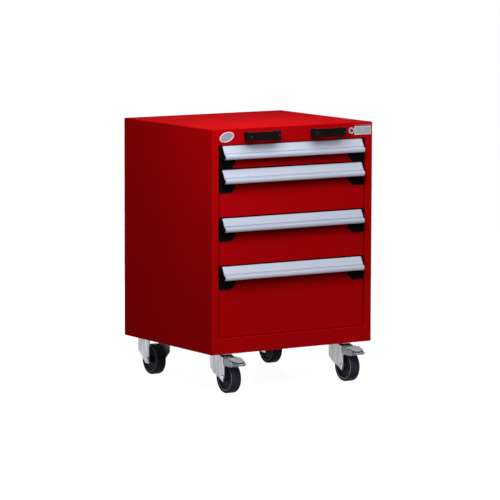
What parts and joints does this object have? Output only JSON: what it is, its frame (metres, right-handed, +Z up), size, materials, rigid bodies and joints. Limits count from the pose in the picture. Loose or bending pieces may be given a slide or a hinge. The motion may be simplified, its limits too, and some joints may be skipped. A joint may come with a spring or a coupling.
{
  "type": "mobile drawer cabinet",
  "caption": "Red steel drawer cabinet on casters: sliding drawers with full-width aluminium handles, two push grips, a key lock and braked front swivel wheels.",
  "frame": {"origin": "on the floor, under the middle of the whole cabinet's outline, brake pedals included", "axes": "+Z up from the floor, -Y out through the drawer fronts, +X to the right as seen from the front"},
  "size_m": [0.6096, 0.602, 0.8392],
  "materials": {
    "red_paint": "semi-gloss red powder coat",
    "tray_paint": "satin grey powder coat",
    "handle_aluminium": "satin anodised",
    "black_plastic": "matt black",
    "zinc_steel": "bright zinc plate",
    "lock_chrome": "polished",
    "tyre_rubber": "matt dark grey",
    "hub_plastic": "matt blue-black"
  },
  "bodies": {
    "cabinet": {"left_side_panel": "red_paint", "right_side_panel": "red_paint", "back_panel": "red_paint", "top_panel": "red_paint", "base_panel": "red_paint", "left_rail_plate": "zinc_steel", "right_rail_plate": "zinc_steel", "left_push_grip": "black_plastic", "right_push_grip": "black_plastic", "lock_housing": "lock_chrome", "front_left_caster_plate": "zinc_steel", "front_right_caster_plate": "zinc_steel", "rear_left_bracket": "zinc_steel", "rear_right_bracket": "zinc_steel", "rear_left_axle": "zinc_steel", "rear_right_axle": "zinc_steel"},
    "drawer_1": {"drawer_1_tray": "tray_paint", "drawer_1_front": "red_paint", "drawer_1_handle": "handle_aluminium", "drawer_1_cap_left": "black_plastic", "drawer_1_cap_right": "black_plastic"},
    "carriage_1_left": {"carriage_1_left": "zinc_steel"},
    "carriage_1_right": {"carriage_1_right": "zinc_steel"},
    "drawer_2": {"drawer_2_tray": "tray_paint", "drawer_2_front": "red_paint", "drawer_2_handle": "handle_aluminium", "drawer_2_cap_left": "black_plastic", "drawer_2_cap_right": "black_plastic"},
    "carriage_2_left": {"carriage_2_left": "zinc_steel"},
    "carriage_2_right": {"carriage_2_right": "zinc_steel"},
    "drawer_3": {"drawer_3_tray": "tray_paint", "drawer_3_front": "red_paint", "drawer_3_handle": "handle_aluminium", "drawer_3_cap_left": "black_plastic", "drawer_3_cap_right": "black_plastic"},
    "carriage_3_left": {"carriage_3_left": "zinc_steel"},
    "carriage_3_right": {"carriage_3_right": "zinc_steel"},
    "drawer_4": {"drawer_4_tray": "tray_paint", "drawer_4_front": "red_paint", "drawer_4_handle": "handle_aluminium", "drawer_4_cap_left": "black_plastic", "drawer_4_cap_right": "black_plastic"},
    "carriage_4_left": {"carriage_4_left": "zinc_steel"},
    "carriage_4_right": {"carriage_4_right": "zinc_steel"},
    "front_left_swivel": {"front_left_fork": "zinc_steel", "front_left_axle": "zinc_steel"},
    "front_left_wheel": {"front_left_tyre": "tyre_rubber", "front_left_hub": "hub_plastic"},
    "front_left_brake": {"front_left_brake_pedal": "zinc_steel"},
    "rear_left_wheel": {"rear_left_tyre": "tyre_rubber", "rear_left_hub": "hub_plastic"},
    "front_right_swivel": {"front_right_fork": "zinc_steel", "front_right_axle": "zinc_steel"},
    "front_right_wheel": {"front_right_tyre": "tyre_rubber", "front_right_hub": "hub_plastic"},
    "front_right_brake": {"front_right_brake_pedal": "zinc_steel"},
    "rear_right_wheel": {"rear_right_tyre": "tyre_rubber", "rear_right_hub": "hub_plastic"},
    "lock_plug": {"lock_plug": "lock_chrome"},
    "lock_bar": {"lock_bar": "zinc_steel"}
  },
  "joints": [
    {"name": "drawer_1_slide", "type": "slide", "parent": "cabinet", "child": "drawer_1", "axis": [0, -1, 0], "range_m": [0, 0.45]},
    {"name": "carriage_1_left_slide", "type": "slide", "parent": "cabinet", "child": "carriage_1_left", "axis": [0, -1, 0], "range_m": [0, 0.225]},
    {"name": "carriage_1_right_slide", "type": "slide", "parent": "cabinet", "child": "carriage_1_right", "axis": [0, -1, 0], "range_m": [0, 0.225]},
    {"name": "drawer_2_slide", "type": "slide", "parent": "cabinet", "child": "drawer_2", "axis": [0, -1, 0], "range_m": [0, 0.45]},
    {"name": "carriage_2_left_slide", "type": "slide", "parent": "cabinet", "child": "carriage_2_left", "axis": [0, -1, 0], "range_m": [0, 0.225]},
    {"name": "carriage_2_right_slide", "type": "slide", "parent": "cabinet", "child": "carriage_2_right", "axis": [0, -1, 0], "range_m": [0, 0.225]},
    {"name": "drawer_3_slide", "type": "slide", "parent": "cabinet", "child": "drawer_3", "axis": [0, -1, 0], "range_m": [0, 0.45]},
    {"name": "carriage_3_left_slide", "type": "slide", "parent": "cabinet", "child": "carriage_3_left", "axis": [0, -1, 0], "range_m": [0, 0.225]},
    {"name": "carriage_3_right_slide", "type": "slide", "parent": "cabinet", "child": "carriage_3_right", "axis": [0, -1, 0], "range_m": [0, 0.225]},
    {"name": "drawer_4_slide", "type": "slide", "parent": "cabinet", "child": "drawer_4", "axis": [0, -1, 0], "range_m": [0, 0.45]},
    {"name": "carriage_4_left_slide", "type": "slide", "parent": "cabinet", "child": "carriage_4_left", "axis": [0, -1, 0], "range_m": [0, 0.225]},
    {"name": "carriage_4_right_slide", "type": "slide", "parent": "cabinet", "child": "carriage_4_right", "axis": [0, -1, 0], "range_m": [0, 0.225]},
    {"name": "front_left_swivel_turn", "type": "hinge", "parent": "cabinet", "child": "front_left_swivel", "pos_m": [-0.2273, -0.17545, 0.112], "axis": [0, 0, 1], "continuous": true},
    {"name": "front_left_wheel_spin", "type": "hinge", "parent": "front_left_swivel", "child": "front_left_wheel", "pos_m": [-0.2273, -0.21145, 0.05], "axis": [1, 0, 0], "continuous": true},
    {"name": "front_left_brake_press", "type": "hinge", "parent": "front_left_swivel", "child": "front_left_brake", "pos_m": [-0.2273, -0.22545, 0.106], "axis": [1, 0, 0], "range_deg": [0, 12]},
    {"name": "rear_left_wheel_spin", "type": "hinge", "parent": "cabinet", "child": "rear_left_wheel", "pos_m": [-0.2273, 0.24195, 0.05], "axis": [1, 0, 0], "continuous": true},
    {"name": "front_right_swivel_turn", "type": "hinge", "parent": "cabinet", "child": "front_right_swivel", "pos_m": [0.2273, -0.17545, 0.112], "axis": [0, 0, 1], "continuous": true},
    {"name": "front_right_wheel_spin", "type": "hinge", "parent": "front_right_swivel", "child": "front_right_wheel", "pos_m": [0.2273, -0.21145, 0.05], "axis": [1, 0, 0], "continuous": true},
    {"name": "front_right_brake_press", "type": "hinge", "parent": "front_right_swivel", "child": "front_right_brake", "pos_m": [0.2273, -0.22545, 0.106], "axis": [1, 0, 0], "range_deg": [0, 12]},
    {"name": "rear_right_wheel_spin", "type": "hinge", "parent": "cabinet", "child": "rear_right_wheel", "pos_m": [0.2273, 0.24195, 0.05], "axis": [1, 0, 0], "continuous": true},
    {"name": "lock_turn", "type": "hinge", "parent": "cabinet", "child": "lock_plug", "pos_m": [0.2215, -0.23345, 0.8138], "axis": [0, -1, 0], "range_deg": [0, 90]},
    {"name": "lock_bar_lift", "type": "slide", "parent": "cabinet", "child": "lock_bar", "axis": [0, 0, 1], "range_m": [0, 0.0142]}
  ],
  "couplings": [
    {"joint": "carriage_1_left_slide", "follows": "drawer_1_slide", "ratio": 0.5},
    {"joint": "carriage_1_right_slide", "follows": "drawer_1_slide", "ratio": 0.5},
    {"joint": "carriage_2_left_slide", "follows": "drawer_2_slide", "ratio": 0.5},
    {"joint": "carriage_2_right_slide", "follows": "drawer_2_slide", "ratio": 0.5},
    {"joint": "carriage_3_left_slide", "follows": "drawer_3_slide", "ratio": 0.5},
    {"joint": "carriage_3_right_slide", "follows": "drawer_3_slide", "ratio": 0.5},
    {"joint": "carriage_4_left_slide", "follows": "drawer_4_slide", "ratio": 0.5},
    {"joint": "carriage_4_right_slide", "follows": "drawer_4_slide", "ratio": 0.5},
    {"joint": "lock_bar_lift", "follows": "lock_turn", "m_per_rad": 0.009}
  ]
}
